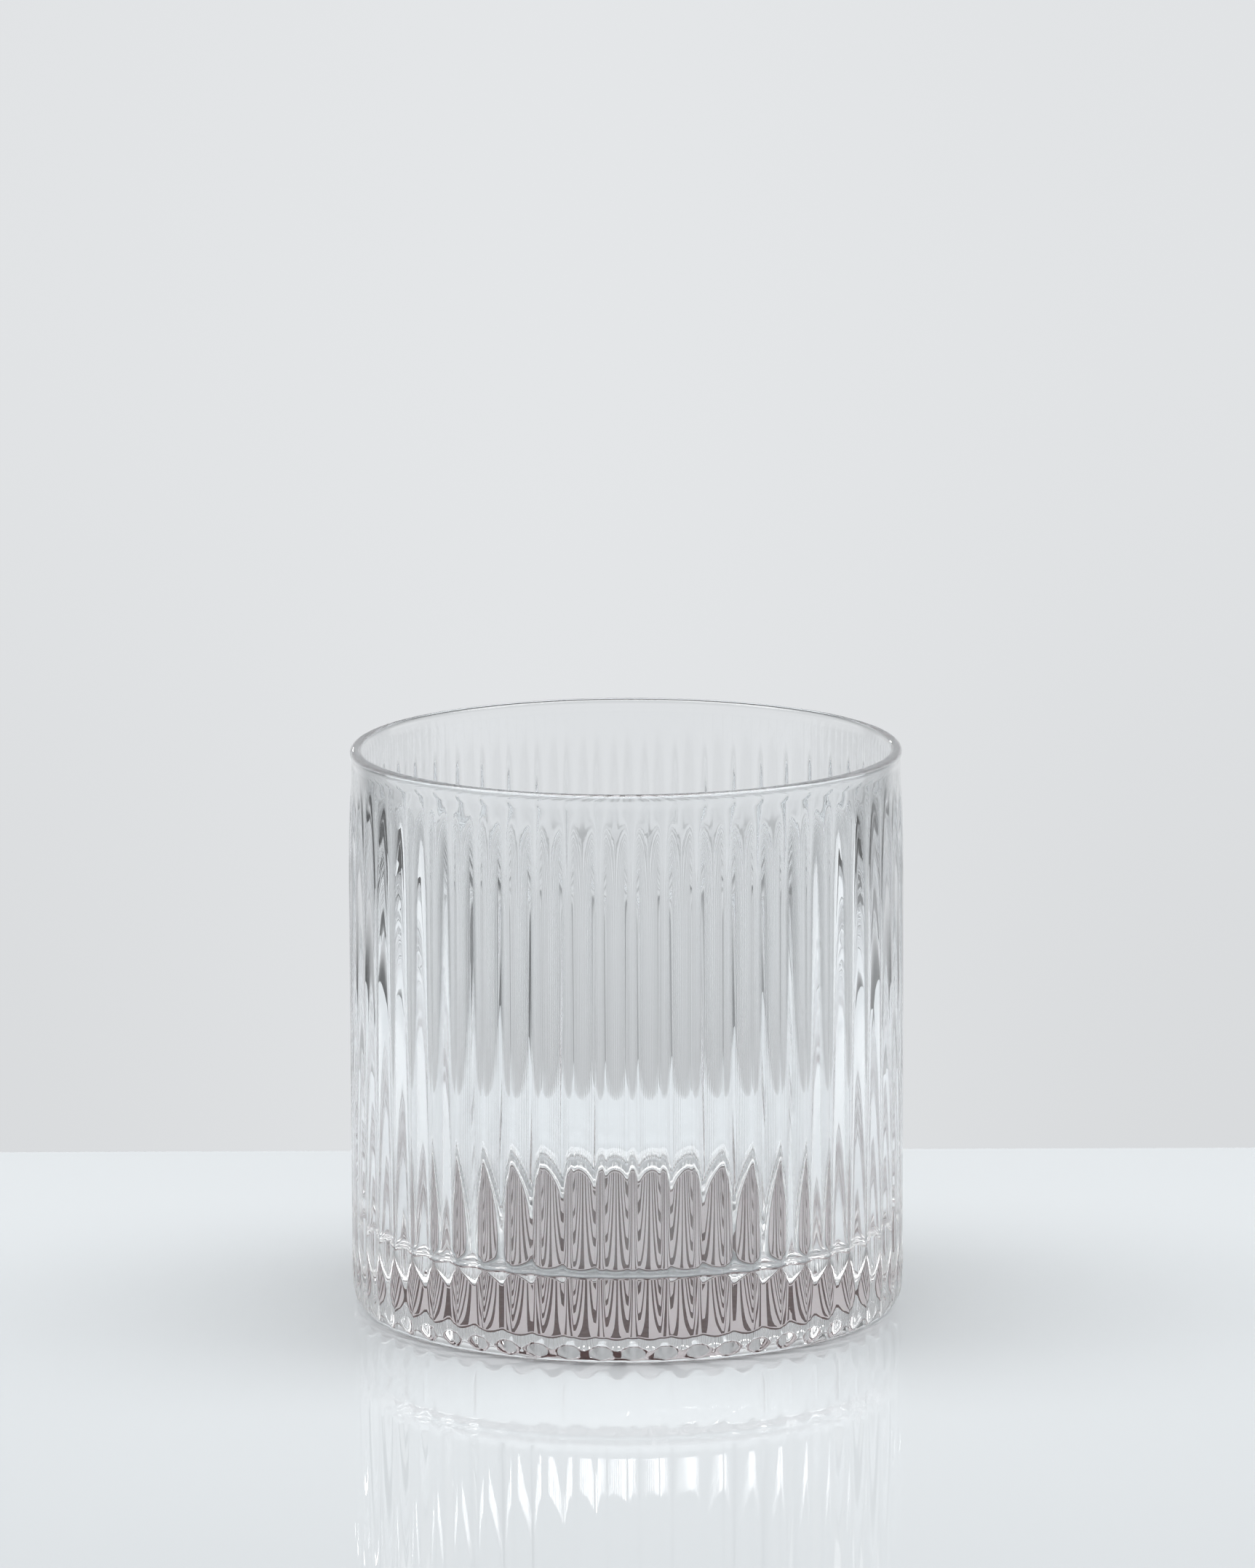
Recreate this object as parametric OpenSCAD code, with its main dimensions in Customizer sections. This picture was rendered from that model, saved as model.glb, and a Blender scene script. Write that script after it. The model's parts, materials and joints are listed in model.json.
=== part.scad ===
// Ribbed juice glass: one moulded tumbler and the round label stuck under its base.
// Millimetres, +Z up, origin on the table at the centre of the foot.

/* [Glass] */
// Height from the table to the top of the lip
glass_h = 82; // [70:1:120]
// Diameter over the crests of the ribs
body_d = 80; // [70:1:95]
// How far the smooth band under the lip stands inside the crests, on the radius
neck_step = 0.5; // [0.1:0.05:1]
// How far the rounded lip stands inside the crests, on the radius
lip_step = 0.3; // [0.1:0.05:0.8]
// Thickness of the wall at the lip
lip_wall = 1.7; // [1.4:0.1:3]
// Thickness of the wall where it meets the floor, over the crests
foot_wall = 5.9; // [3:0.1:9]
// Share of the inner taper that comes in a curve towards the floor
taper_bow_share = 0.9; // [0:0.1:1]

/* [Ribs] */
// Number of ribs round the glass
rib_count = 54; // [36:2:72]
// Radius of a rib's rounded face
rib_r = 2.9; // [2.4:0.1:8]
// Height of a rib above the plain wall between two ribs
rib_rise = 0.55; // [0.3:0.05:0.8]
// Height of the smooth band under the lip
smooth_band_h = 3; // [2:0.5:6]
// Height over which the ribs sink into the wall towards the lip
rib_fade_h = 16; // [10:1:24]
// Turn of the first rib from the X axis, in degrees
rib_turn = 1.2; // [0:0.1:6]

/* [Base] */
// Height of the floor of the cup above the table
floor_h = 11.2; // [8:0.2:16]
// Radius of the corner between floor and inner wall
floor_corner_r = 1.5; // [1:0.1:4]
// Height of the rounded bottom corner
corner_h = 4.5; // [3:0.5:8]
// Width of the rounded bottom corner, on the radius
corner_w = 2.2; // [1.5:0.1:4]
// Width of the flat ring that the glass stands on
foot_ring_w = 2.4; // [1.5:0.1:4]
// Height of the hollow under the base
hollow_h = 1.6; // [1:0.1:3]
// Width of the slope from the ring up into the hollow
hollow_slope_w = 3; // [2:0.5:5]

/* [Label] */
// Gap between the label and the foot of the hollow's slope
label_gap = 6.8; // [1:0.1:8]
// Thickness of the label
label_t = 0.2; // [0.1:0.05:0.4]

/* [Hidden] */
$fn = 96;
body_r = body_d / 2;
neck_r = body_r - neck_step;
lip_r = body_r - lip_step;
bore_r = lip_r - lip_wall;
floor_bore_r = body_r - foot_wall;
valley_r = body_r - rib_rise;
foot_r = body_r - corner_w;
hollow_r = foot_r - foot_ring_w - hollow_slope_w;
label_r = hollow_r - label_gap;
// The lip is a full round across the wall
lip_round_r = lip_wall / 2;
lip_z = glass_h - lip_round_r;
// Heights where the ribs begin to sink and where the smooth band begins
fade_top_z = glass_h - smooth_band_h;
fade_bottom_z = fade_top_z - rib_fade_h;
// Height over which the valleys rise into the smooth band
valley_run_h = rib_fade_h / 2;
// How far that rise begins inside the valleys, so that it comes out of them slowly
valley_run_sink = 0.15;
// Points of the rounded bottom corner, as shares of its quarter turn
corner_shares = [0, 0.25, 0.45, 0.62, 0.78, 0.9, 1];
quarter_turn = 90;
full_turn = 360;
// Steps of the corner between floor and inner wall, and of the bowed inner wall
floor_corner_steps = 5;
wall_steps = 12;
// Overrun of every cut, so that no faces coincide
overrun = 1;
glass_tint = [0.86, 0.9, 0.92, 0.35];
label_tint = [0.62, 0.55, 0.54];

// One point of the rounded bottom corner, at a share of its quarter turn
function corner_point(share) = [
    body_r - corner_w * (1 - sin(quarter_turn * share)),
    corner_h * (1 - cos(quarter_turn * share))
];

// Radius of the bowed inner wall, at a share of the way down from the lip
function bore_at(down) =
    bore_r - (bore_r - floor_bore_r) * ((1 - taper_bow_share) * down + taper_bow_share * down * down);

// One point of the inner wall, at a share of its height from the floor corner up
function wall_point(share) =
    let (
        wall_low_z = floor_h + floor_corner_r,
        z = wall_low_z + (lip_z - wall_low_z) * share
    )
    [bore_at((lip_z - z) / (lip_z - floor_h)), z];

// One point of the corner between floor and inner wall, at a share of its quarter turn
function floor_corner_point(share) = [
    wall_point(0)[0] - floor_corner_r * (1 - sin(quarter_turn * share)),
    floor_h + floor_corner_r * (1 - cos(quarter_turn * share))
];

// Section through all the ribs: round faces standing on the plain wall
module ribbed_section() {
    circle(r = valley_r);
    for (i = [0 : rib_count - 1])
        rotate(rib_turn + i * full_turn / rib_count)
            translate([body_r - rib_r, 0])
                circle(r = rib_r);
}

// Outline that the ribs are trimmed to: rounded corner below, sinking crests above
module trimmed_envelope() {
    rotate_extrude()
        polygon(concat(
            [[0, 0]],
            [for (share = corner_shares) corner_point(share)],
            [
                [body_r, fade_bottom_z],
                [neck_r, fade_top_z],
                [neck_r - overrun, fade_top_z + overrun],
                [0, fade_top_z + overrun]
            ]
        ));
}

// Smooth band, with the rise of the valleys below it and the rounded lip above it
module smooth_band() {
    rotate_extrude() {
        polygon([
            [0, fade_top_z - valley_run_h],
            [valley_r - valley_run_sink, fade_top_z - valley_run_h],
            [neck_r, fade_top_z],
            [neck_r, lip_z],
            [0, lip_z]
        ]);
        translate([lip_r - lip_round_r, lip_z])
            circle(r = lip_round_r);
    }
}

// Inside of the cup: flat floor, rounded corner, bowed wall
module cup_space() {
    rotate_extrude()
        polygon(concat(
            [[0, floor_h]],
            [for (i = [0 : floor_corner_steps - 1]) floor_corner_point(i / floor_corner_steps)],
            [for (i = [0 : wall_steps]) wall_point(i / wall_steps)],
            [
                [bore_r, glass_h + overrun],
                [0, glass_h + overrun]
            ]
        ));
}

// Shallow hollow under the base, which holds the label clear of the table
module base_hollow() {
    translate([0, 0, -overrun])
        cylinder(
            h = hollow_h + overrun,
            r1 = hollow_r + hollow_slope_w * (1 + overrun / hollow_h),
            r2 = hollow_r
        );
}

module tumbler() {
    color(glass_tint)
        difference() {
            union() {
                intersection() {
                    linear_extrude(fade_top_z + overrun)
                        ribbed_section();
                    trimmed_envelope();
                }
                smooth_band();
            }
            cup_space();
            base_hollow();
        }
}

module base_label() {
    color(label_tint)
        translate([0, 0, hollow_h - label_t])
            cylinder(h = label_t, r = label_r);
}

tumbler();
base_label();
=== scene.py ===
import json
import math

import bmesh
import bpy
import numpy as np
from bpy.props import FloatProperty, FloatVectorProperty, IntProperty, PointerProperty
from mathutils import Matrix, Vector

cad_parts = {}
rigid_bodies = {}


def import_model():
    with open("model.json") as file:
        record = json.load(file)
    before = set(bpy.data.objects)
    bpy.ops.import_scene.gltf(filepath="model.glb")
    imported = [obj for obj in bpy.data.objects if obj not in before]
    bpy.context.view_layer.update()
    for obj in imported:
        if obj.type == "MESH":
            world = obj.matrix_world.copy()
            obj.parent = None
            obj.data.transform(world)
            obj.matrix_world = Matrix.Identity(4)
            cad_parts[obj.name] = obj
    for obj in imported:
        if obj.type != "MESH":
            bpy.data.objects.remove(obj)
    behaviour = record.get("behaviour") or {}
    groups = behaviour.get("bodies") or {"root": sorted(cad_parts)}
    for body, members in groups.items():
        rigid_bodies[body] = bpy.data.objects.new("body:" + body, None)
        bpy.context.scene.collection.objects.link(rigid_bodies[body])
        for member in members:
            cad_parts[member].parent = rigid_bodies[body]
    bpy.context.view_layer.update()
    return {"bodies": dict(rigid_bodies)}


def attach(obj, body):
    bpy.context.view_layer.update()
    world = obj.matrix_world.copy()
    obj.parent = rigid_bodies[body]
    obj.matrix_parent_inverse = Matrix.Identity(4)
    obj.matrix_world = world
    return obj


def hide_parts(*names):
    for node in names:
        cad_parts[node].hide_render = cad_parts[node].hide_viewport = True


bl_info = {
    "name": "Ribbed juice glass",
    "version": (1, 0, 0),
    "blender": (4, 5, 0),
    "location": "3D View > Sidebar > Juice glass",
    "description": "Makes a ribbed juice glass with its base label, on a glossy table",
    "category": "Object",
}

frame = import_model()
BODY = next(iter(frame["bodies"]))

MM = 0.001
GLASS_IOR = 1.52
LACQUER_IOR = 1.45


# Sizes and colours

def length(name, description, metres):
    """A length as a scene property."""
    return FloatProperty(name=name, description=description, default=metres, precision=5,
                         unit="LENGTH", subtype="DISTANCE")


def angle(name, description, degrees):
    """An angle as a scene property."""
    return FloatProperty(name=name, description=description, default=math.radians(degrees),
                         unit="ROTATION", subtype="ANGLE")


def share(name, description, value):
    """A share from 0 to 1 as a scene property."""
    return FloatProperty(name=name, description=description, default=value,
                         min=0.0, max=1.0, subtype="FACTOR")


def colour(name, description, value):
    """A colour as a scene property."""
    return FloatVectorProperty(name=name, description=description, default=value, size=3,
                               min=0.0, max=1.0, subtype="COLOR")


def power(name, description, watts):
    """A lamp's power as a scene property."""
    return FloatProperty(name=name, description=description, default=watts, unit="POWER")


def brightness(name, description, value):
    """A brightness, where 1 is white, as a scene property."""
    return FloatProperty(name=name, description=description, default=value, min=0.0)


class TumblerSizes(bpy.types.PropertyGroup):
    """Sizes of the moulded glass."""
    height: length("Height", "Foot to lip", 0.082)
    crest_radius: length("Crest radius", "Axis to the top of a rib", 0.040)
    valley_radius: length("Valley radius", "Axis to the plain wall between two ribs", 0.0392)
    neck_radius: length("Neck radius", "Axis to the smooth band under the lip", 0.0395)
    lip_radius: length("Lip radius", "Axis to the outside of the lip", 0.0397)
    bore_radius: length("Bore radius", "Axis to the inside of the lip", 0.0380)
    bore_foot_radius: length("Bore foot radius", "Axis to the inner wall, where it meets the floor", 0.0341)
    bore_bow: share("Bore bow", "Share of the inner taper that comes in a curve towards the floor", 0.9)
    floor_height: length("Floor height", "Table to the inside floor", 0.0112)
    floor_corner: length("Floor corner", "Radius between floor and inner wall", 0.0030)
    hollow_height: length("Hollow height", "Depth of the hollow under the base", 0.0016)
    ring_width: length("Foot ring width", "Width of the ring that stands on the table", 0.0024)
    slope_width: length("Hollow slope", "Width of the slope from foot ring to hollow", 0.003)
    corner_height: length("Corner height", "Height of the rounded bottom corner", 0.0045)
    corner_width: length("Corner width", "Width of the rounded bottom corner", 0.0022)
    rib_count: IntProperty(name="Ribs", description="Ribs round the glass", default=54, min=8, max=120)
    rib_radius: length("Rib radius", "Radius of one rib's round face", 0.0026)
    rib_turn: angle("Rib turn", "Turn of the first rib from the front", 4.453)
    fade_start: length("Fade start", "Height at which the ribs begin to sink into the wall", 0.063)
    fade_end: length("Fade end", "Height at which the wall is plain", 0.079)
    ripple: length("Ripple", "Depth of the slow waves that pressing leaves in the wall", 0.00003)
    ripple_length: length("Ripple length", "Distance from one wave to the next", 0.009)
    ripple_seed: IntProperty(name="Ripple seed", description="Picks one set of waves", default=7)
    tint: colour("Glass tint", "Colour of the glass", (0.972, 0.980, 0.985))


class LabelSizes(bpy.types.PropertyGroup):
    """Sizes and colours of the round film under the base."""
    radius: length("Film radius", "Outside of the film", 0.0289)
    off_centre: length("Off centre", "How far behind the axis the film was stuck", 0.0033)
    thickness: length("Film thickness", "Thickness of the film", 0.00018)
    bedded: length("Bedded", "How deep the film sits in the glass, so that no air is between them", 0.00003)
    ring_radius: length("Ring radius", "Middle of the printed ring", 0.0284)
    ring_line: length("Ring line", "Width of the printed ring", 0.0009)
    stripe_step: length("Stripe step", "From one printed stripe to the next", 0.0046)
    stripe_share: share("Stripe share", "Printed part of each step", 0.40)
    stripe_vary: share("Stripe variation", "How much that part varies from stripe to stripe", 0.28)
    stripe_reach: length("Stripe reach", "Half the width of the striped field", 0.0250)
    stripe_half: length("Stripe half length", "Half the length of a stripe", 0.0275)
    stripe_margin: length("Stripe margin", "From the ring's middle to the striped field", 0.0012)
    ink: colour("Ink", "Colour of the print", (0.085, 0.024, 0.021))
    film: colour("Film", "Colour of the film", (0.99, 0.89, 0.905))


class StudioSizes(bpy.types.PropertyGroup):
    """The table, the backdrop, the lamps and the camera."""
    table_back: length("Table back edge", "Back edge of the table, behind the axis", 0.0989)
    table_width: length("Table width", "Width of the table", 2.0)
    table_depth: length("Table depth", "Depth of the table", 0.9)
    table_thickness: length("Table thickness", "Thickness of the table top", 0.03)
    table_edge: length("Table edge", "Radius of the table's rounded edges", 0.0012)
    table_colour: colour("Table colour", "Colour of the glossy top", (0.580, 0.608, 0.627))
    backdrop_distance: length("Backdrop distance", "From the axis to the backdrop", 1.6)
    backdrop_width: length("Backdrop width", "Width of the backdrop", 4.6)
    backdrop_foot: length("Backdrop foot", "How far the backdrop hangs below the table", 1.2)
    backdrop_top: length("Backdrop top", "How far the backdrop stands above the table", 2.2)
    backdrop_colour: colour("Backdrop colour", "Colour of the backdrop", (0.755, 0.77, 0.785))
    flag_shade: share("Flag shade", "Shade of the upright flags beside the view, against the backdrop", 0.6)
    crown_shade: share("Crown shade", "Shade of the backdrop above the view", 0.64)
    side_shade: share("Side shade", "Shade of the backdrop far to both sides", 0.31)
    left_shade: share("Left end shade", "Shade of the backdrop's left end", 0.12)
    top_power: power("Top lamp", "Power of the softbox above", 10.8)
    right_power: power("Right lamp", "Power of the softbox on the right", 0.6)
    left_power: power("Left lamp", "Power of the softbox on the left", 0.4)
    strip_power: power("Strip lamp", "Power of the strip light behind", 0.13)
    light_turns: IntProperty(
        name="Light turns", description="How often light may turn in the glass before it is lost",
        default=24, min=4, max=64)
    air_above: brightness("Room above", "Brightness of the room above the table", 0.5)
    air_below: brightness("Room below", "Brightness of the room below the table", 0.08)
    air_seen: brightness("Room seen", "Brightness of the room in the picture", 0.78)
    camera_distance: length("Camera distance", "From the axis to the lens, along the floor", 1.3)
    camera_height: length("Camera height", "Height of the lens", 0.3186)
    camera_aside: length("Camera aside", "Lens to the right of the axis", 0.00022)
    camera_pitch: angle("Camera pitch", "How far the lens looks down", 10.56)
    camera_roll: angle("Camera roll", "Turn of the picture", 0.21)
    lens: FloatProperty(
        name="Lens", description="Focal length for a 36 mm long side", default=210.9, unit="CAMERA")


# Helpers for node trees

def node(tree, kind, **values):
    """One node of a tree, with plain properties set."""
    made = tree.nodes.new(kind)
    for key, value in values.items():
        setattr(made, key, value)
    return made


def feed(tree, socket, value):
    """Links a socket into another, or sets it to a plain value."""
    if isinstance(value, bpy.types.NodeSocket):
        tree.links.new(value, socket)
    else:
        socket.default_value = value


def calc(tree, operation, *values):
    """A Math node and its result."""
    made = node(tree, "ShaderNodeMath", operation=operation)
    for socket, value in zip(made.inputs, values):
        feed(tree, socket, value)
    return made.outputs[0]


def noise(tree, vector, scale, detail=3.0, roughness=0.55):
    """A noise texture's plain value."""
    made = node(tree, "ShaderNodeTexNoise")
    feed(tree, made.inputs["Vector"], vector)
    made.inputs["Scale"].default_value = scale
    made.inputs["Detail"].default_value = detail
    made.inputs["Roughness"].default_value = roughness
    return made.outputs["Fac"]


def remap(tree, value, low, high, to_low, to_high, smooth=False):
    """A Map Range node and its result."""
    made = node(tree, "ShaderNodeMapRange")
    if smooth:
        made.interpolation_type = "SMOOTHSTEP"
    feed(tree, made.inputs["Value"], value)
    made.inputs["From Min"].default_value = low
    made.inputs["From Max"].default_value = high
    made.inputs["To Min"].default_value = to_low
    made.inputs["To Max"].default_value = to_high
    return made.outputs["Result"]


def fade_in(tree, value, low, high):
    """0 below the first value and 1 above the second, soft between them."""
    return remap(tree, value, low, high, 0.0, 1.0, smooth=True)


def fade_out(tree, value, low, high):
    """1 below the first value and 0 above the second, soft between them."""
    return remap(tree, value, low, high, 1.0, 0.0, smooth=True)


def shaded(base, amount):
    """A colour made darker or lighter."""
    return [min(1.0, value * amount) for value in base]


def blend_colours(tree, amount, first, second):
    """A colour mix and its result. Inputs 6 and 7 and output 2 are the node's colours."""
    made = node(tree, "ShaderNodeMix", data_type="RGBA")
    feed(tree, made.inputs["Factor"], amount)
    feed(tree, made.inputs[6], first if isinstance(first, bpy.types.NodeSocket) else (*first, 1.0))
    feed(tree, made.inputs[7], second if isinstance(second, bpy.types.NodeSocket) else (*second, 1.0))
    return made.outputs[2]


def bump(tree, shader, height, strength, distance):
    """Gives a shader's surface small heights."""
    made = node(tree, "ShaderNodeBump")
    made.inputs["Strength"].default_value = strength
    made.inputs["Distance"].default_value = distance
    feed(tree, made.inputs["Height"], height)
    feed(tree, shader.inputs["Normal"], made.outputs[0])


def new_material(name):
    """An empty material with its tree, its principled shader and its object coordinates."""
    material = bpy.data.materials.new(name)
    material.use_nodes = True
    tree = material.node_tree
    shader = tree.nodes["Principled BSDF"]
    coordinates = node(tree, "ShaderNodeTexCoord").outputs["Object"]
    return material, tree, shader, coordinates


def split_axes(tree, vector):
    """The X, Y and Z sockets of a vector."""
    made = node(tree, "ShaderNodeSeparateXYZ")
    feed(tree, made.inputs[0], vector)
    return made.outputs["X"], made.outputs["Y"], made.outputs["Z"]


# The glass

def soft_least(first, second, blend):
    """The smaller of two lengths, with a rounded change from one to the other."""
    part = np.clip(0.5 + 0.5 * (second - first) / blend, 0.0, 1.0)
    return second * (1 - part) + first * part - blend * part * (1 - part)


def soft_most(first, second, blend):
    """The larger of two lengths, with a rounded change from one to the other."""
    return -soft_least(-first, -second, blend)


def ease(value):
    """0 to 1 with a soft start and end."""
    value = np.clip(value, 0.0, 1.0)
    return value * value * (3 - 2 * value)


def bore_at(sizes, height):
    """Radius of the inner wall at a height."""
    down = (sizes.height - height) / (sizes.height - sizes.floor_height)
    bow = sizes.bore_bow
    taper = sizes.bore_radius - sizes.bore_foot_radius
    return sizes.bore_radius - taper * ((1 - bow) * down + bow * down * down)


def underside(sizes):
    """Rows from the axis out to the foot ring: the flat hollow, its slope with two fillets, and the ring."""
    contact = sizes.crest_radius - sizes.corner_width
    hollow = contact - sizes.ring_width - sizes.slope_width
    rows = [(hollow * part, sizes.hollow_height) for part in (0.0, 0.12, 0.35, 0.65, 0.9, 0.98)]
    # each fillet takes this share of the slope's width on both sides of its corner
    rounded = 0.1
    for part in np.linspace(-rounded, rounded, 5):
        sunk = (part + rounded) ** 2 / (4 * rounded)
        rows.append((hollow + sizes.slope_width * part, sizes.hollow_height * (1 - sunk)))
    for part in np.linspace(1 - rounded, 1 + rounded, 5):
        left = (1 + rounded - part) ** 2 / (4 * rounded)
        rows.append((hollow + sizes.slope_width * part, sizes.hollow_height * left))
    rows.append((contact - 0.4 * sizes.ring_width, 0.0))
    return rows


def trimming_edges(sizes, spare, trim_blend):
    """Heights up the outside, and the radius that the ribs are trimmed to at each."""
    wall = sizes.crest_radius + spare
    # how fast the edge moves away from the crests above the corner, so that it trims nothing there
    flare = 0.6
    edges = []
    for turn in np.linspace(0.0, math.pi / 2, 34):
        inward = (sizes.corner_width + spare) * (1 - np.sin(turn))
        edges.append((sizes.corner_height * (1 - np.cos(turn)), wall - inward))
    # up the straight body, closer together near the corner
    for height in (0.0056, 0.0075, 0.011, 0.018, 0.028, 0.040, 0.052):
        edges.append((height, wall + flare * (height - sizes.corner_height)))
    start = sizes.crest_radius + trim_blend
    for height in np.linspace(sizes.fade_start, sizes.fade_end, 22):
        still = (sizes.fade_end - height) / (sizes.fade_end - sizes.fade_start)
        edges.append((height, sizes.neck_radius + (start - sizes.neck_radius) * still))
    # up the smooth band, to just under the lip
    for height in (sizes.fade_end + 0.6 * MM, sizes.height - 1.7 * MM):
        edges.append((height, sizes.neck_radius))
    return edges


def outside(sizes, turns):
    """Rows from the foot ring up to the neck: the rib's face, trimmed to the corner and the fade."""
    # how softly one form runs into the next
    valley_blend = 0.3 * MM
    groove_blend = 0.15 * MM
    trim_blend = 0.4 * MM
    run_out = 6 * MM
    across = sizes.crest_radius * np.sin(turns)
    round_face = sizes.rib_radius - np.sqrt(sizes.rib_radius ** 2 - across ** 2)
    depth = sizes.crest_radius - sizes.valley_radius
    rib = sizes.crest_radius - soft_least(round_face, depth, valley_blend)
    # the trim takes this much off the crests, so its edge starts that far out
    spare = 0.25 * trim_blend
    rows = []
    for height, edge in trimming_edges(sizes, spare, trim_blend):
        risen = ease((height - sizes.fade_start) / (sizes.fade_end - sizes.fade_start))
        groove = sizes.valley_radius + (sizes.neck_radius - sizes.valley_radius) * risen
        face = soft_least(soft_most(rib, groove, groove_blend), edge, trim_blend)
        smooth = ease((height - sizes.fade_end + run_out) / run_out)
        rows.append((face * (1 - smooth) + sizes.neck_radius * smooth, height))
    return rows


def lip(sizes):
    """Rows over the rounded lip."""
    bead = (sizes.lip_radius - sizes.bore_radius) / 2
    rows = []
    # half a turn and a little more, which starts under the lip's widest place
    for turn in np.linspace(-0.12, 1.0, 12) * math.pi:
        radius = sizes.bore_radius + bead + bead * math.cos(turn)
        rows.append((radius, sizes.height - bead + bead * math.sin(turn)))
    return rows


def inside(sizes):
    """Rows down the inner wall, round the corner and over the floor to the axis."""
    bead = (sizes.lip_radius - sizes.bore_radius) / 2
    # the wall's rows stop short of the lip and of the corner, which have rows of their own
    top = sizes.height - bead - 1.2 * MM
    low = sizes.floor_height + sizes.floor_corner
    rows = [(bore_at(sizes, height), height) for height in np.linspace(top, low + 0.3 * MM, 15)]
    corner = bore_at(sizes, low) - sizes.floor_corner
    for turn in np.linspace(math.radians(7), math.pi / 2, 11):
        rows.append((corner + sizes.floor_corner * math.cos(turn), low - sizes.floor_corner * math.sin(turn)))
    rows += [(corner * part, sizes.floor_height) for part in (0.9, 0.6, 0.3, 0.1, 0.0)]
    return rows


def slice_mesh(sizes):
    """One rib's slice of the glass, from the middle of one valley to the next, with its faces outward."""
    # columns from the crest to the valley, as shares of the step from rib to rib
    half = [0.0, 0.11, 0.20, 0.28, 0.35, 0.41, 0.455, 0.5]
    turns = np.array([-value for value in half[:0:-1]] + half) * 2 * math.pi / sizes.rib_count
    rows = underside(sizes) + outside(sizes, turns) + lip(sizes) + inside(sizes)
    points = []
    for radius, height in rows:
        for reach, turn in zip(np.broadcast_to(radius, len(turns)), turns):
            points.append((reach * math.sin(turn), -reach * math.cos(turn), height))
    wide = len(turns)
    faces = []
    for row in range(len(rows) - 1):
        for column in range(wide - 1):
            start = row * wide + column
            faces.append((start, start + 1, start + wide + 1, start + wide))
    mesh = bpy.data.meshes.new("rib_slice")
    mesh.from_pydata(points, [], faces)
    work = bmesh.new()
    work.from_mesh(mesh)
    same_place = 0.0001 * MM
    bmesh.ops.remove_doubles(work, verts=work.verts, dist=same_place)
    bmesh.ops.dissolve_degenerate(work, edges=work.edges, dist=same_place)
    work.to_mesh(mesh)
    work.free()
    return mesh


def rib_tree():
    """Node tree that sets one slice round the axis, joins the slices and gives the wall its slow waves."""
    tree = bpy.data.node_groups.new("Ribs round a glass", "GeometryNodeTree")
    face = tree.interface
    face.new_socket("Slice", in_out="INPUT", socket_type="NodeSocketGeometry")
    face.new_socket("Ribs", in_out="INPUT", socket_type="NodeSocketInt").default_value = 54
    plain_values = {"First turn": 0.0, "Join distance": 1e-6, "Ripple": 0.0, "Ripple scale": 100.0}
    for name, value in plain_values.items():
        face.new_socket(name, in_out="INPUT", socket_type="NodeSocketFloat").default_value = value
    face.new_socket("Seed", in_out="INPUT", socket_type="NodeSocketInt")
    face.new_socket("Glass", in_out="INPUT", socket_type="NodeSocketMaterial")
    face.new_socket("Tumbler", in_out="OUTPUT", socket_type="NodeSocketGeometry")
    given = node(tree, "NodeGroupInput").outputs

    # one slice for each rib, turned round the axis
    line = node(tree, "GeometryNodeMeshLine", mode="OFFSET")
    feed(tree, line.inputs["Count"], given["Ribs"])
    line.inputs["Offset"].default_value = (0.0, 0.0, 0.0)
    order = node(tree, "GeometryNodeInputIndex").outputs[0]
    step = calc(tree, "DIVIDE", 2 * math.pi, given["Ribs"])
    turn = calc(tree, "ADD", calc(tree, "MULTIPLY", order, step), given["First turn"])
    spin = node(tree, "ShaderNodeCombineXYZ")
    feed(tree, spin.inputs["Z"], turn)
    place = node(tree, "GeometryNodeInstanceOnPoints")
    feed(tree, place.inputs["Points"], line.outputs["Mesh"])
    feed(tree, place.inputs["Instance"], given["Slice"])
    feed(tree, place.inputs["Rotation"], spin.outputs[0])
    real = node(tree, "GeometryNodeRealizeInstances")
    feed(tree, real.inputs[0], place.outputs[0])
    join = node(tree, "GeometryNodeMergeByDistance")
    feed(tree, join.inputs["Geometry"], real.outputs[0])
    feed(tree, join.inputs["Distance"], given["Join distance"])

    # slow waves, longer up the wall than round it
    stretch = node(tree, "ShaderNodeVectorMath", operation="MULTIPLY")
    feed(tree, stretch.inputs[0], node(tree, "GeometryNodeInputPosition").outputs[0])
    stretch.inputs[1].default_value = (1.0, 1.0, 0.45)
    wave = node(tree, "ShaderNodeTexNoise", noise_dimensions="4D")
    feed(tree, wave.inputs["Vector"], stretch.outputs[0])
    feed(tree, wave.inputs["W"], given["Seed"])
    feed(tree, wave.inputs["Scale"], given["Ripple scale"])
    wave.inputs["Detail"].default_value = 1.0
    height = calc(tree, "MULTIPLY", calc(tree, "SUBTRACT", wave.outputs["Fac"], 0.5), given["Ripple"])
    push = node(tree, "ShaderNodeVectorMath", operation="SCALE")
    feed(tree, push.inputs[0], node(tree, "GeometryNodeInputNormal").outputs[0])
    feed(tree, push.inputs["Scale"], height)
    shift = node(tree, "GeometryNodeSetPosition")
    feed(tree, shift.inputs["Geometry"], join.outputs[0])
    feed(tree, shift.inputs["Offset"], push.outputs[0])
    smooth = node(tree, "GeometryNodeSetShadeSmooth")
    feed(tree, smooth.inputs["Geometry"], shift.outputs[0])
    again = node(tree, "GeometryNodeRealizeInstances")
    feed(tree, again.inputs[0], smooth.outputs[0])
    paint = node(tree, "GeometryNodeSetMaterial")
    feed(tree, paint.inputs["Geometry"], again.outputs[0])
    feed(tree, paint.inputs["Material"], given["Glass"])
    feed(tree, node(tree, "NodeGroupOutput").inputs["Tumbler"], paint.outputs[0])
    return tree


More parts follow.
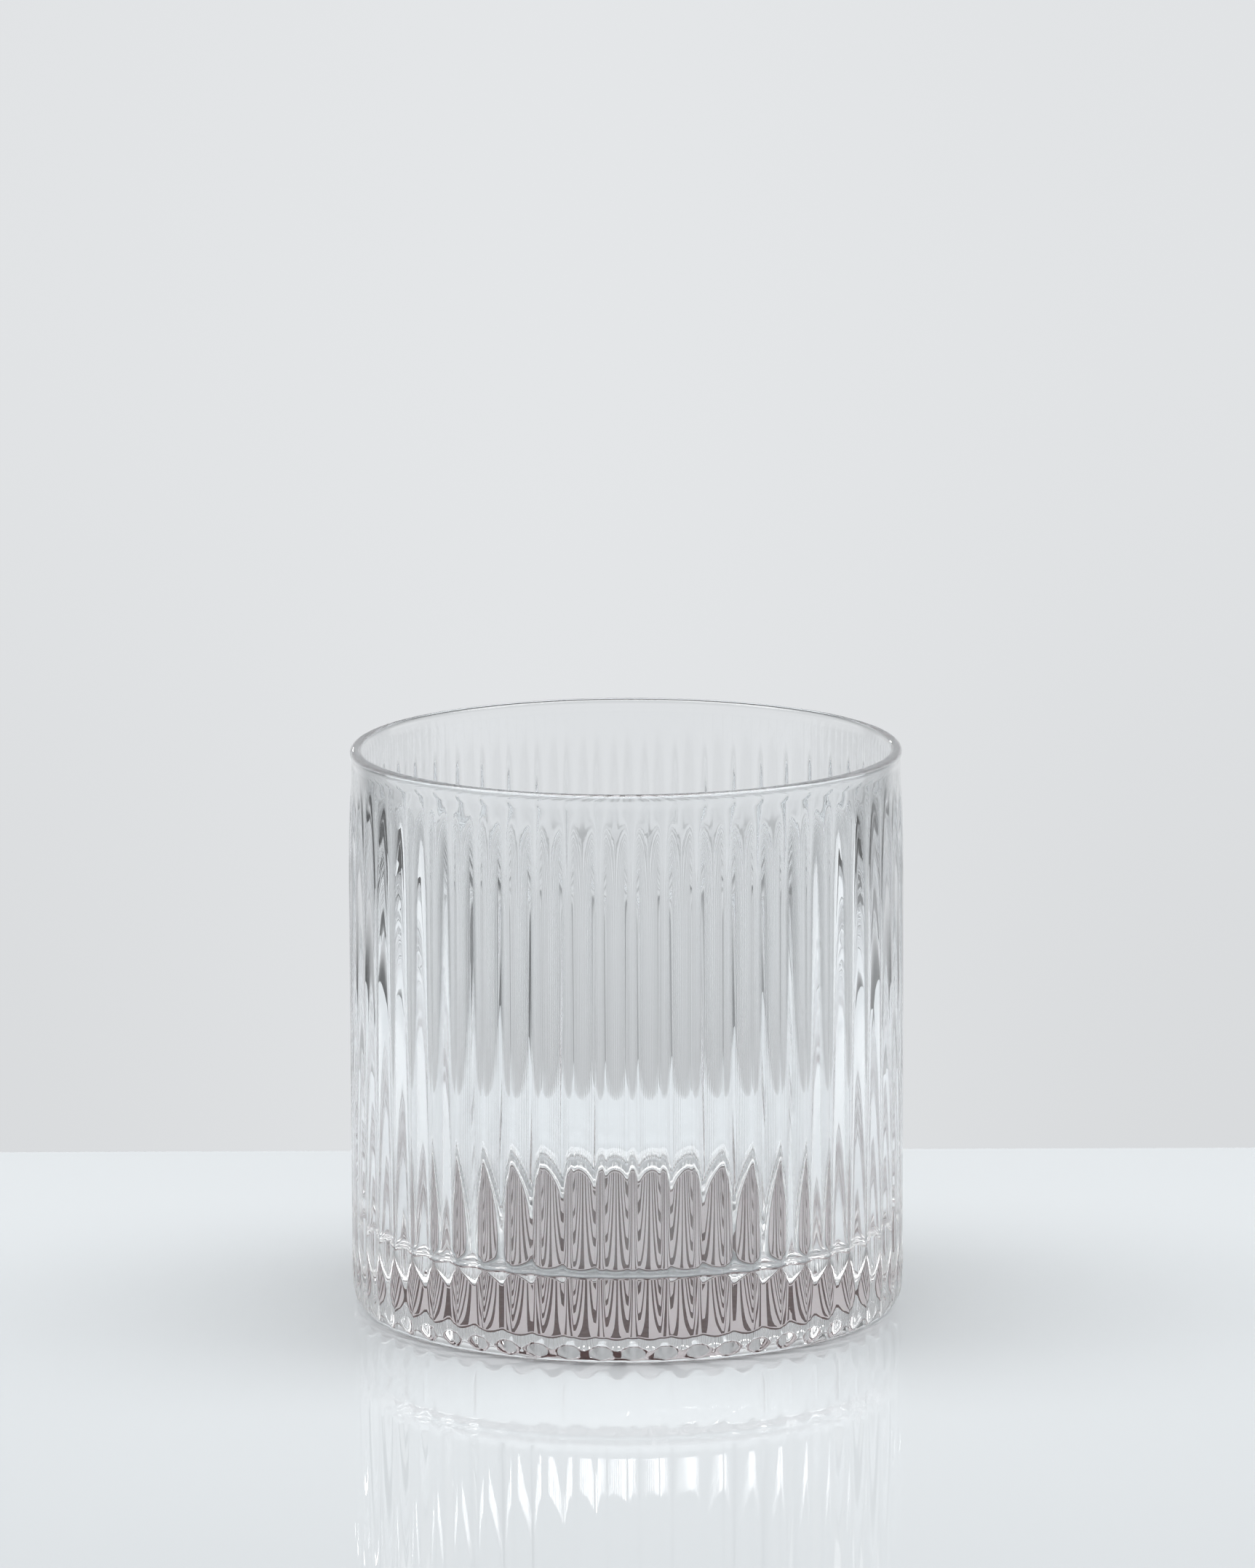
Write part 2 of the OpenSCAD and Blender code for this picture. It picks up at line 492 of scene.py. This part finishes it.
def grown(piece, tree, values, name):
    """Runs a node tree on a piece and keeps the result as a plain mesh."""
    modifier = piece.modifiers.new(name, "NODES")
    modifier.node_group = tree
    sockets = {item.name: item.identifier for item in tree.interface.items_tree if item.in_out == "INPUT"}
    for key, value in values.items():
        modifier[sockets[key]] = value
    bpy.context.view_layer.update()
    graph = bpy.context.evaluated_depsgraph_get()
    mesh = bpy.data.meshes.new_from_object(
        piece.evaluated_get(graph), preserve_all_data_layers=True, depsgraph=graph)
    piece.modifiers.remove(modifier)
    old = piece.data
    piece.data = mesh
    bpy.data.meshes.remove(old)
    if not len(mesh.polygons):
        raise RuntimeError(name + " made no faces")
    return piece


def clear_glass(sizes):
    """Clear pressed glass, with faint drag marks up the wall and a trace of haze."""
    material, tree, shader, where = new_material("clear_pressed_glass")
    shader.inputs["Base Color"].default_value = (*sizes.tint, 1.0)
    shader.inputs["IOR"].default_value = GLASS_IOR
    shader.inputs["Transmission Weight"].default_value = 1.0
    # the pattern is drawn out along the wall
    drawn = node(tree, "ShaderNodeMapping")
    feed(tree, drawn.inputs["Vector"], where)
    drawn.inputs["Scale"].default_value = (1.0, 1.0, 0.3)
    marks = noise(tree, drawn.outputs[0], scale=130.0, detail=1.0, roughness=0.4)
    bump(tree, shader, marks, strength=0.06, distance=0.4 * MM)
    haze = noise(tree, where, scale=60.0)
    feed(tree, shader.inputs["Roughness"], remap(tree, haze, 0.45, 0.75, 0.0, 0.02))
    return material


def check_closed(mesh):
    """Raises an error if a mesh is open or inside out."""
    work = bmesh.new()
    work.from_mesh(mesh)
    open_edges = sum(1 for edge in work.edges if len(edge.link_faces) != 2)
    volume = work.calc_volume(signed=True)
    work.free()
    if open_edges or volume <= 0:
        raise RuntimeError("the glass isn't closed: %d open edges, volume %g" % (open_edges, volume))


class JUICEGLASS_OT_tumbler(bpy.types.Operator):
    """Makes the ribbed glass from one rib's slice"""
    bl_idname = "juiceglass.tumbler"
    bl_label = "Make the ribbed glass"

    def execute(self, context):
        sizes = context.scene.juice_glass_tumbler
        piece = bpy.data.objects.new("ribbed_tumbler", slice_mesh(sizes))
        context.collection.objects.link(piece)
        grown(piece, rib_tree(), {
            "Ribs": sizes.rib_count,
            "First turn": sizes.rib_turn,
            "Join distance": 0.002 * MM,
            "Ripple": sizes.ripple,
            "Ripple scale": 1.0 / sizes.ripple_length,
            "Seed": sizes.ripple_seed,
            "Glass": clear_glass(sizes),
        }, "Ribs round a glass")
        check_closed(piece.data)
        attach(piece, BODY)
        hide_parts("tumbler")
        return {"FINISHED"}


# The label

def printed_part(tree, sizes, where):
    """1 on the printed ring and the printed stripes, and 0 on the bare film."""
    x, across_y, _ = split_axes(tree, where)
    y = calc(tree, "SUBTRACT", across_y, sizes.off_centre)
    away = calc(tree, "SQRT", calc(tree, "ADD", calc(tree, "MULTIPLY", x, x), calc(tree, "MULTIPLY", y, y)))
    # the edges of the print wander a little
    uneven = noise(tree, where, scale=1500.0, detail=2.0)
    wander = calc(tree, "MULTIPLY", calc(tree, "SUBTRACT", uneven, 0.5), 0.12 * MM)
    off_ring = calc(tree, "SUBTRACT", calc(tree, "ADD", away, wander), sizes.ring_radius)
    ring = calc(tree, "LESS_THAN", calc(tree, "ABSOLUTE", off_ring), sizes.ring_line / 2)
    # the steps are counted from a metre to the left, so that no count is below 0
    steps = calc(tree, "DIVIDE", calc(tree, "ADD", calc(tree, "ADD", x, wander), 1.0), sizes.stripe_step)
    # each step gets its own value from 0 to 1, so that the stripes differ in width
    mixed = calc(tree, "FRACT", calc(tree, "MULTIPLY", calc(tree, "FLOOR", steps), 0.37))
    limit = calc(tree, "ADD", calc(tree, "MULTIPLY", mixed, sizes.stripe_vary),
                 sizes.stripe_share - sizes.stripe_vary / 2)
    stripe = calc(tree, "LESS_THAN", calc(tree, "FRACT", steps), limit)
    beside = calc(tree, "LESS_THAN", calc(tree, "ABSOLUTE", x), sizes.stripe_reach)
    along = calc(tree, "LESS_THAN", calc(tree, "ABSOLUTE", y), sizes.stripe_half)
    within = calc(tree, "LESS_THAN", away, sizes.ring_radius - sizes.stripe_margin)
    field = calc(tree, "MULTIPLY", calc(tree, "MULTIPLY", beside, along), within)
    return calc(tree, "MAXIMUM", ring, calc(tree, "MULTIPLY", stripe, field))


def printed_film(sizes):
    """Pale film with a brown ring and a field of plain stripes."""
    material, tree, shader, where = new_material("printed_film")
    mottle = noise(tree, where, scale=420.0, detail=3.0)
    grain = noise(tree, where, scale=2200.0, detail=2.0)
    film = blend_colours(tree, mottle, shaded(sizes.film, 0.93), shaded(sizes.film, 1.07))
    ink = blend_colours(tree, grain, shaded(sizes.ink, 0.8), shaded(sizes.ink, 1.25))
    feed(tree, shader.inputs["Base Color"], blend_colours(tree, printed_part(tree, sizes, where), film, ink))
    feed(tree, shader.inputs["Roughness"], remap(tree, mottle, 0.3, 0.7, 0.42, 0.55))
    bump(tree, shader, mottle, strength=0.25, distance=0.05 * MM)
    return material


def round_film(sizes, top):
    """A thin disc with a rounded rim, as a closed mesh."""
    around = 180
    thick = sizes.thickness
    # shares of the radius with their heights, from the middle of the top to the middle of the underside
    profile = [(part, top) for part in (0.0, 0.35, 0.7, 0.93, 0.992)]
    profile += [(1.0, top - 0.3 * thick), (1.0, top - 0.7 * thick)]
    profile += [(part, top - thick) for part in (0.992, 0.7, 0.35, 0.0)]
    work = bmesh.new()
    rings = []
    for part, height in profile:
        reach = sizes.radius * part
        spots = around if part else 1
        turns = [2 * math.pi * spot / around for spot in range(spots)]
        rings.append([
            work.verts.new((reach * math.cos(turn), sizes.off_centre + reach * math.sin(turn), height))
            for turn in turns
        ])
    for upper, lower in zip(rings, rings[1:]):
        for spot in range(around):
            after = (spot + 1) % around
            if len(upper) == 1:
                work.faces.new((upper[0], lower[spot], lower[after]))
            elif len(lower) == 1:
                work.faces.new((upper[spot], lower[0], upper[after]))
            else:
                work.faces.new((upper[spot], lower[spot], lower[after], upper[after]))
    bmesh.ops.recalc_face_normals(work, faces=work.faces)
    mesh = bpy.data.meshes.new("base_film")
    work.to_mesh(mesh)
    work.free()
    return mesh


class JUICEGLASS_OT_label(bpy.types.Operator):
    """Makes the round film that is bonded under the base"""
    bl_idname = "juiceglass.label"
    bl_label = "Make the base label"

    def execute(self, context):
        sizes = context.scene.juice_glass_label
        glass = context.scene.juice_glass_tumbler
        piece = bpy.data.objects.new("base_film", round_film(sizes, glass.hollow_height + sizes.bedded))
        context.collection.objects.link(piece)
        piece.data.materials.append(printed_film(sizes))
        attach(piece, BODY)
        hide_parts("base_label")
        return {"FINISHED"}


# Table, backdrop, lamps and camera

def shown_colour(tree, colour_socket, diffuse_colour):
    """A surface that shows its own colour to the eye, in gloss and through glass, and is plain to lamps."""
    rays = node(tree, "ShaderNodeLightPath").outputs
    straight = calc(tree, "MAXIMUM", rays["Is Camera Ray"], rays["Is Glossy Ray"])
    seen = calc(tree, "MAXIMUM", straight, rays["Is Transmission Ray"])
    glow = node(tree, "ShaderNodeEmission")
    feed(tree, glow.inputs["Color"], colour_socket)
    glow.inputs["Strength"].default_value = 1.0
    plain = node(tree, "ShaderNodeBsdfDiffuse")
    plain.inputs["Color"].default_value = (*diffuse_colour, 1.0)
    mix = node(tree, "ShaderNodeMixShader")
    feed(tree, mix.inputs[0], seen)
    feed(tree, mix.inputs[1], plain.outputs[0])
    feed(tree, mix.inputs[2], glow.outputs[0])
    return mix.outputs[0]


def backdrop_paint(sizes):
    """Pale grey paper, with painted shade towards its foot and painted light in its middle, and darker flags
    and ends outside the picture that give the ribs their dark lines.
    """
    material, tree, shader, where = new_material("backdrop_paper")
    tree.nodes.remove(shader)
    paper = sizes.backdrop_colour
    x, _, z = split_axes(tree, where)
    aside = calc(tree, "ABSOLUTE", x)

    # places are in metres from the axis and the table top, and shades are shares of the paper's colour

    # the part that the picture shows: painted shade that makes it darker towards the foot, below the table
    # top, and painted light that makes it a little lighter in the middle
    foot = blend_colours(tree, fade_in(tree, z, -0.47, -0.33), shaded(paper, 0.74), shaded(paper, 0.92))
    seen = blend_colours(tree, fade_in(tree, z, -0.35, -0.05), foot, paper)
    middle = fade_out(tree, calc(tree, "ABSOLUTE", calc(tree, "ADD", x, 0.02)), 0.0, 0.22)
    seen = blend_colours(tree, calc(tree, "MULTIPLY", middle, 0.5), seen, shaded(paper, 1.06))

    # the part that only the glass and the table show
    whole = blend_colours(tree, fade_in(tree, z, 0.08, 0.30), seen, shaded(paper, sizes.crown_shade))
    flag_width = calc(tree, "MULTIPLY", fade_in(tree, aside, 0.22, 0.32), fade_out(tree, aside, 0.42, 0.56))
    flag_height = calc(tree, "MAXIMUM", fade_out(tree, z, -0.34, -0.27), fade_in(tree, z, 0.12, 0.24))
    flag = calc(tree, "MULTIPLY", flag_width, flag_height)
    whole = blend_colours(tree, flag, whole, shaded(paper, sizes.flag_shade))
    whole = blend_colours(tree, fade_out(tree, aside, 0.65, 1.5), shaded(paper, sizes.side_shade), whole)
    whole = blend_colours(tree, fade_in(tree, x, -1.5, -1.05), shaded(paper, sizes.left_shade), whole)
    feed(tree, tree.nodes["Material Output"].inputs["Surface"], shown_colour(tree, whole, paper))
    return material


def table_gloss(sizes):
    """Glossy pale lacquer, polished like a mirror, with painted light that makes it a little lighter towards
    the back.
    """
    material, tree, shader, where = new_material("table_lacquer")
    _, y, _ = split_axes(tree, where)
    uneven = noise(tree, where, scale=3.0, detail=2.0)
    cloud = calc(tree, "MULTIPLY", calc(tree, "SUBTRACT", uneven, 0.5), 0.3)
    # painted light: 0 in front of the glass and 1 from just behind its axis, with the random clouds added
    back = calc(tree, "ADD", remap(tree, y, -0.42, 0.05, 0.0, 1.0), cloud)
    # the lacquer's colour with the painted light: darker in front, lighter at the back
    lacquer = blend_colours(tree, back, shaded(sizes.table_colour, 0.87), shaded(sizes.table_colour, 1.21))
    feed(tree, shader.inputs["Base Color"], lacquer)
    shader.inputs["IOR"].default_value = LACQUER_IOR
    haze = noise(tree, where, scale=40.0)
    feed(tree, shader.inputs["Roughness"], remap(tree, haze, 0.3, 0.7, 0.0, 0.012))
    return material


def studio_air(sizes):
    """Soft room light: pale above, dark below the table, plain pale to the camera."""
    world = bpy.data.worlds.new("studio_air")
    world.use_nodes = True
    tree = world.node_tree
    paint = tree.nodes["Background"]
    _, _, up = split_axes(tree, node(tree, "ShaderNodeTexCoord").outputs["Generated"])
    room = remap(tree, up, -0.12, 0.05, sizes.air_below, sizes.air_above, smooth=True)
    rays = node(tree, "ShaderNodeLightPath").outputs
    shade = node(tree, "ShaderNodeMix", data_type="FLOAT")
    feed(tree, shade.inputs[0], rays["Is Camera Ray"])
    feed(tree, shade.inputs[2], room)
    feed(tree, shade.inputs[3], sizes.air_seen)
    feed(tree, paint.inputs["Color"], shade.outputs[0])
    paint.inputs["Strength"].default_value = 1.0
    return world


def table_top(sizes):
    """The table's slab with its rounded edges, top face at height 0."""
    work = bmesh.new()
    bmesh.ops.create_cube(work, size=1.0)
    size = (sizes.table_width, sizes.table_depth, sizes.table_thickness)
    middle = (0.0, sizes.table_back - sizes.table_depth / 2, -sizes.table_thickness / 2)
    bmesh.ops.scale(work, vec=size, verts=work.verts)
    bmesh.ops.translate(work, vec=middle, verts=work.verts)
    bmesh.ops.bevel(work, geom=work.edges, offset=sizes.table_edge, segments=3, affect="EDGES", profile=0.5)
    mesh = bpy.data.meshes.new("table")
    work.to_mesh(mesh)
    work.free()
    return mesh


def backdrop_sheet(sizes):
    """The upright sheet behind the table."""
    half = sizes.backdrop_width / 2
    away = sizes.backdrop_distance
    foot, top = -sizes.backdrop_foot, sizes.backdrop_top
    mesh = bpy.data.meshes.new("backdrop")
    corners = [(-half, away, foot), (half, away, foot), (half, away, top), (-half, away, top)]
    mesh.from_pydata(corners, [], [(0, 1, 2, 3)])
    return mesh


def set_up(context, name, mesh, material):
    """Puts one piece of the studio in the scene."""
    made = bpy.data.objects.new(name, mesh)
    context.collection.objects.link(made)
    mesh.materials.append(material)
    return made


def lamp(context, name, place, aim, size, watts):
    """A rectangular soft lamp that faces one point."""
    data = bpy.data.lights.new(name, "AREA")
    data.shape = "RECTANGLE"
    data.size, data.size_y = size
    data.energy = watts
    made = bpy.data.objects.new(name, data)
    made.location = place
    made.rotation_mode = "QUATERNION"
    made.rotation_quaternion = (Vector(aim) - Vector(place)).to_track_quat("-Z", "Y")
    context.collection.objects.link(made)


def photo_camera(context, sizes):
    """The camera at the photograph's viewing angle."""
    data = bpy.data.cameras.new("photo_view")
    data.sensor_width = 36.0
    data.lens = sizes.lens
    data.clip_end = 20.0
    camera = bpy.data.objects.new("photo_view", data)
    context.collection.objects.link(camera)
    place = Matrix.Translation((sizes.camera_aside, -sizes.camera_distance, sizes.camera_height))
    pitch = Matrix.Rotation(math.pi / 2 - sizes.camera_pitch, 4, "X")
    roll = Matrix.Rotation(-sizes.camera_roll, 4, "Z")
    camera.matrix_world = place @ pitch @ roll
    context.scene.camera = camera


class JUICEGLASS_OT_studio(bpy.types.Operator):
    """Makes the table, the backdrop, the lamps and the camera"""
    bl_idname = "juiceglass.studio"
    bl_label = "Make the studio"

    def execute(self, context):
        sizes = context.scene.juice_glass_studio
        table = set_up(context, "table", table_top(sizes), table_gloss(sizes))
        backdrop = set_up(context, "backdrop", backdrop_sheet(sizes), backdrop_paint(sizes))

        context.scene.world = studio_air(sizes)
        glass_middle = (0.0, 0.0, 0.04)
        side_size = (0.6, 0.9)
        lamp(context, "top_softbox", place=(0.0, 0.02, 0.9), aim=(0.0, 0.02, 0.0),
             size=(1.7, 0.5), watts=sizes.top_power)
        lamp(context, "right_softbox", place=(1.15, 0.55, 0.6), aim=glass_middle,
             size=side_size, watts=sizes.right_power)
        lamp(context, "left_softbox", place=(-1.15, 0.55, 0.6), aim=glass_middle,
             size=side_size, watts=sizes.left_power)
        lamp(context, "strip_light", place=(-0.3, 1.33, 0.256), aim=(-0.15, 0.0, 0.256),
             size=(0.11, 0.018), watts=sizes.strip_power)
        photo_camera(context, sizes)
        context.scene.view_settings.view_transform = "Standard"
        # light passes many faces inside the ribs before it gets out
        paths = context.scene.cycles
        paths.max_bounces = sizes.light_turns
        paths.glossy_bounces = sizes.light_turns
        paths.transmission_bounces = sizes.light_turns
        return {"FINISHED"}


# Panel and registration

class JUICEGLASS_PT_panel(bpy.types.Panel):
    """Lists the steps that make the glass and its studio"""
    bl_idname = "JUICEGLASS_PT_panel"
    bl_label = "Juice glass"
    bl_space_type = "VIEW_3D"
    bl_region_type = "UI"
    bl_category = "Juice glass"

    def draw(self, context):
        column = self.layout.column()
        for step in STEPS:
            column.operator(step.bl_idname)


STEPS = (JUICEGLASS_OT_tumbler, JUICEGLASS_OT_label, JUICEGLASS_OT_studio)
GROUPS = {
    "juice_glass_tumbler": TumblerSizes,
    "juice_glass_label": LabelSizes,
    "juice_glass_studio": StudioSizes,
}


def register():
    """Adds the classes, and the settings of each scene."""
    for group in GROUPS.values():
        bpy.utils.register_class(group)
    for step in STEPS:
        bpy.utils.register_class(step)
    bpy.utils.register_class(JUICEGLASS_PT_panel)
    for name, group in GROUPS.items():
        setattr(bpy.types.Scene, name, PointerProperty(type=group))


def unregister():
    """Takes the classes and the settings away again."""
    for name in GROUPS:
        delattr(bpy.types.Scene, name)
    bpy.utils.unregister_class(JUICEGLASS_PT_panel)
    for step in reversed(STEPS):
        bpy.utils.unregister_class(step)
    for group in reversed(list(GROUPS.values())):
        bpy.utils.unregister_class(group)


def main():
    """Makes every piece in order."""
    register()
    bpy.ops.juiceglass.tumbler()
    bpy.ops.juiceglass.label()
    bpy.ops.juiceglass.studio()
    bpy.context.view_layer.update()


if __name__ == "__main__":
    main()
